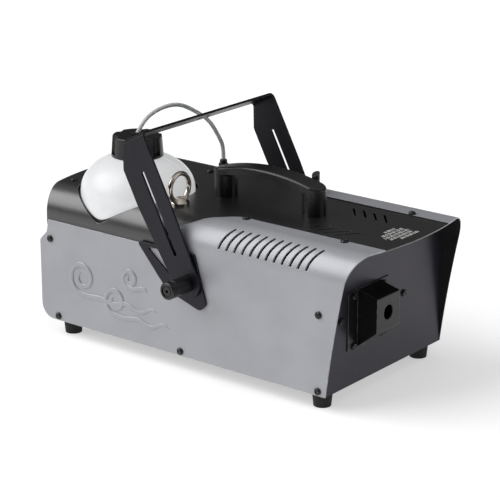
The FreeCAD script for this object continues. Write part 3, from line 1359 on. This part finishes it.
def power_inlet():
    """Three-pin mains inlet, snapped into the rear panel."""
    face = rear_spot(INLET_SPOT)
    half_x, half_z = INLET_SIZE[0] / 2, INLET_SIZE[1] / 2
    ear_x, ear_z = INLET_FLANGE[0] / 2, INLET_FLANGE[1] / 2
    corners = [(face.x - ear_x, face.z - ear_z, 4), (face.x + ear_x, face.z - ear_z, 4),
               (face.x + ear_x, face.z + ear_z, 4), (face.x - ear_x, face.z + ear_z, 4)]
    flange = plate(corners, front_view(REAR_FACE), V(0, 3, 0))
    body = block((face.x - half_x, face.x + half_x), (REAR_FACE - INLET_DEPTH, REAR_FACE + 1),
                 (face.z - half_z, face.z + half_z))
    mouth = [(face.x - half_x + 2.5, face.z - half_z + 3, 1),
             (face.x + half_x - 2.5, face.z - half_z + 3, 1),
             (face.x + half_x - 2.5, face.z + half_z - 6, 1),
             (face.x + half_x - 7, face.z + half_z - 2, 1),
             (face.x - half_x + 7, face.z + half_z - 2, 1),
             (face.x - half_x + 2.5, face.z + half_z - 6, 1)]
    socket = plate(mouth, front_view(REAR_FACE - 16), V(0, 30, 0))
    inlet = joined([flange, body]).cut(socket)
    pins = []
    for x, z in ((-7, -2), (0, 3), (7, -2)):
        pins.append(block((face.x + x - 1, face.x + x + 1), (REAR_FACE - 17, REAR_FACE - 3),
                          (face.z + z - 2, face.z + z + 2)))
    return joined([inlet] + pins)


def fuse_holder():
    """Round fuse holder with a slotted cap."""
    face = rear_spot(FUSE_SPOT)
    barrel = rod(FUSE_RADIUS, face - V(0, 28, 0), face)
    rim = rod(FUSE_RADIUS + 2, face, face + V(0, 2.5, 0))
    cap = rod(FUSE_RADIUS, face + V(0, 2.5, 0), face + V(0, 9, 0))
    slot = block((face.x - 5, face.x + 5), (REAR_FACE + 7, REAR_FACE + 12),
                 (face.z - 0.8, face.z + 0.8))
    return joined([barrel, rim, cap]).cut(slot)


def switch_housing():
    """Frame of the mains rocker switch."""
    face = rear_spot(SWITCH_SPOT)
    half_x, half_z = SWITCH_SIZE[0] / 2, SWITCH_SIZE[1] / 2
    body = block((face.x - half_x, face.x + half_x), (REAR_FACE - 18, REAR_FACE),
                 (face.z - half_z, face.z + half_z))
    rim = block((face.x - half_x - 2, face.x + half_x + 2), (REAR_FACE, REAR_FACE + 2.5),
                (face.z - half_z - 2, face.z + half_z + 2))
    room = block((face.x - half_x + 1.2, face.x + half_x - 1.2), (REAR_FACE - 10, REAR_FACE + 9),
                 (face.z - half_z + 1.2, face.z + half_z - 1.2))
    return joined([body, rim]).cut(room)


def switch_rocker():
    """Rocker of the mains switch, shown tipped to off."""
    pivot = rear_spot(SWITCH_SPOT, -3.0)
    half_x = SWITCH_SIZE[0] / 2 - 1.2 - SPACE
    half_z = SWITCH_SIZE[1] / 2 - 1.2 - 4 * SPACE
    side = [
        (pivot.y - 3, pivot.z - 4),
        (pivot.y + 5.2, pivot.z - half_z, 0.6),
        (pivot.y + 7.4, pivot.z - half_z, 0.6),
        (pivot.y + 6.2, pivot.z, 20),
        (pivot.y + 7.4, pivot.z + half_z, 0.6),
        (pivot.y + 5.2, pivot.z + half_z, 0.6),
        (pivot.y - 3, pivot.z + 4),
    ]
    rocker = plate(side, side_view(pivot.x - half_x), V(2 * half_x, 0, 0))
    rocker.rotate(pivot, V(1, 0, 0), SWITCH_TILT)
    return rocker


def remote_socket():
    """Five-pin socket for the wired remote."""
    face = rear_spot(SOCKET_SPOT)
    barrel = rod(SOCKET_RADIUS, face - V(0, 16, 0), face)
    rim = rod(SOCKET_RADIUS + 3, face, face + V(0, 2, 0))
    body = joined([barrel, rim])
    mouth = rod(SOCKET_RADIUS - 1.2, face - V(0, 9, 0), face + V(0, 5, 0))
    body = body.cut(mouth)
    pins = []
    for i in range(5):
        angle = math.radians(45 * i)
        spot = face + V(4.2 * math.cos(angle), 0, -4.2 * math.sin(angle))
        pins.append(rod(0.7, spot - V(0, 10, 0), spot - V(0, 2, 0)))
    return joined([body] + pins)


def button_housing():
    """Bushing of the manual fog button."""
    face = rear_spot(BUTTON_SPOT)
    barrel = rod(BUTTON_RADIUS + 1.5, face - V(0, 20, 0), face)
    rim = rod(BUTTON_RADIUS + 3.5, face, face + V(0, 2.5, 0))
    room = rod(BUTTON_RADIUS + RUNNING, face - V(0, 14, 0), face + V(0, 5, 0))
    return joined([barrel, rim]).cut(room)


def fog_button():
    """Plunger of the manual fog button, pushed in against its spring."""
    face = rear_spot(BUTTON_SPOT)
    end = face + V(0, 2.5 + BUTTON_STROKE + 2, 0)
    plunger = rod(BUTTON_RADIUS, face - V(0, 14 - BUTTON_STROKE - 1, 0), end)
    rim = [edge for edge in plunger.Edges if edge.BoundBox.YMin > end.y - 0.1]
    return plunger.makeFillet(0.8, rim)


def dial_pot():
    """Potentiometer behind the output dial, with its shaft."""
    face = rear_spot(DIAL_SPOT)
    body = rod(8.5, face - V(0, SHEET + 12, 0), face - V(0, SHEET, 0))
    neck = rod(3.5, face - V(0, SHEET, 0), face + V(0, 2, 0))
    shaft = rod(3.0, face, face + V(0, 11, 0))
    return joined([body, neck, shaft])


def output_dial():
    """Output dial: ribbed skirted knob with a pointer ridge."""
    base = rear_spot(DIAL_SPOT, 2 + SPACE)
    outer = base + V(0, DIAL_HEIGHT, 0)
    knob = rod(DIAL_RADIUS, base, outer)
    tools = []
    ribs = 20
    for i in range(ribs):
        angle = math.radians(360 / ribs * i)
        spot = base + V((DIAL_RADIUS + 0.4) * math.cos(angle), 3, (DIAL_RADIUS + 0.4) * math.sin(angle))
        tools.append(rod(0.9, spot, spot + V(0, DIAL_HEIGHT, 0)))
    tools.append(rod(3.0 + RUNNING, base - V(0, 1, 0), base + V(0, 9.2, 0)))
    knob = cut_all(knob, tools)
    pointer = block((base.x - 0.8, base.x + 0.8), (outer.y, outer.y + 0.8),
                    (base.z + 1, base.z + DIAL_RADIUS - 1.5))
    return joined([knob, pointer])


def thumb_screw():
    """Tall-headed screw on the right flange, turned without a tool."""
    seat = flange_seats()[3]
    shank = rod(SCREW_RADIUS, seat - V(0, 0, SCREW_LENGTH), seat)
    bar = rod(THUMB_RADIUS, seat, seat + V(0, 0, THUMB_HEIGHT + THUMB_RADIUS))
    low = seat.z + THUMB_HEIGHT - THUMB_DROP
    slope = [(seat.x - THUMB_RADIUS, low), (seat.x + THUMB_RADIUS, low + THUMB_DROP),
             (seat.x + THUMB_RADIUS, FAR), (seat.x - THUMB_RADIUS, FAR)]
    head = bar.cut(plate(slope, front_view(-FAR), V(0, 2 * FAR, 0)))
    return joined([shank, head])


# ---- write every piece --------------------------------------------------
def both(shape):
    """A left piece with its right twin, as two solids in one node."""
    return Part.makeCompound([shape, mirrored(shape)])


def screws(seats, outward):
    """A group of pan head screws that face the same way."""
    return Part.makeCompound([pan_screw(seat, outward) for seat in seats])


def save(name, shape):
    """Write one sub-part and report what it holds."""
    shape.exportStep(os.path.join("parts", name + ".step"))
    print(name, len(shape.Solids), round(shape.Volume), shape.isValid())


def main():
    """Build every sub-part of the machine and write each to its own file."""
    os.makedirs("parts", exist_ok=True)
    left_cover = side_cover()
    save("side_cover_left", left_cover)
    save("side_cover_right", mirrored(left_cover))
    save("top_cover", top_cover())
    save("bottom_tray", bottom_tray())
    save("front_panel", front_panel())
    save("rear_panel", rear_panel())
    save("rubber_feet", feet())
    save("foot_screws", foot_screws())
    save("lifting_frame", lifting_frame())
    left_plate = pivot_plate()
    save("pivot_plate_left", left_plate)
    save("pivot_plate_right", mirrored(left_plate))
    save("plate_screws", both(plate_screw()))
    save("pivot_studs", both(pivot_stud()))
    save("pivot_washers", both(pivot_washer()))
    save("yoke", yoke())
    left_knob = yoke_knob()
    save("yoke_knob_left", left_knob)
    save("yoke_knob_right", mirrored(left_knob))
    save("handle", handle())
    save("handle_bolts", handle_bolts())
    save("eye_bolt", eye_bolt())
    save("eye_bolt_nut", eye_nut())
    save("tank_well", tank_well())
    save("tank_shelf", tank_shelf())
    save("fluid_tank", fluid_tank())
    save("tank_cap", tank_cap())
    hose = fluid_hose()
    save("fluid_hose", hose)
    save("hose_grommet", hose_grommet(hose))
    save("pickup_tube", pickup_tube(hose))
    save("pickup_filter", pickup_filter())
    save("hose_fitting", hose_fitting())
    save("inner_hose", inner_hose())
    save("pump", pump())
    save("pump_bracket", pump_bracket())
    save("heater_pipe", heater_pipe())
    save("heater_block", heater_block())
    save("heater_insulation", heater_insulation())
    save("heater_shell", heater_shell())
    save("heater_brackets", heater_brackets())
    save("thermostat", thermostat())
    save("nozzle", nozzle())
    save("nozzle_cover", nozzle_cover())
    save("nozzle_cover_screws", screws(guard_seats(), V(0, -1, 0)))
    save("front_panel_screws", screws(panel_seats(), V(0, -1, 0)))
    side_screws = side_cuts(-1, pan_screw) + side_cuts(1, pan_screw)
    save("side_cover_screws", Part.makeCompound(side_screws))
    save("flange_screws", screws(flange_seats()[:3], V(0, 0, 1)))
    save("top_cover_screws", screws(lid_seats(), V(0, 0, 1)))
    save("cover_thumbscrew", thumb_screw())
    save("control_board", board())
    save("board_parts", board_parts())
    save("board_posts", board_posts())
    save("power_inlet", power_inlet())
    save("fuse_holder", fuse_holder())
    save("switch_housing", switch_housing())
    save("switch_rocker", switch_rocker())
    save("remote_socket", remote_socket())
    save("button_housing", button_housing())
    save("fog_button", fog_button())
    save("dial_pot", dial_pot())
    save("output_dial", output_dial())


main()
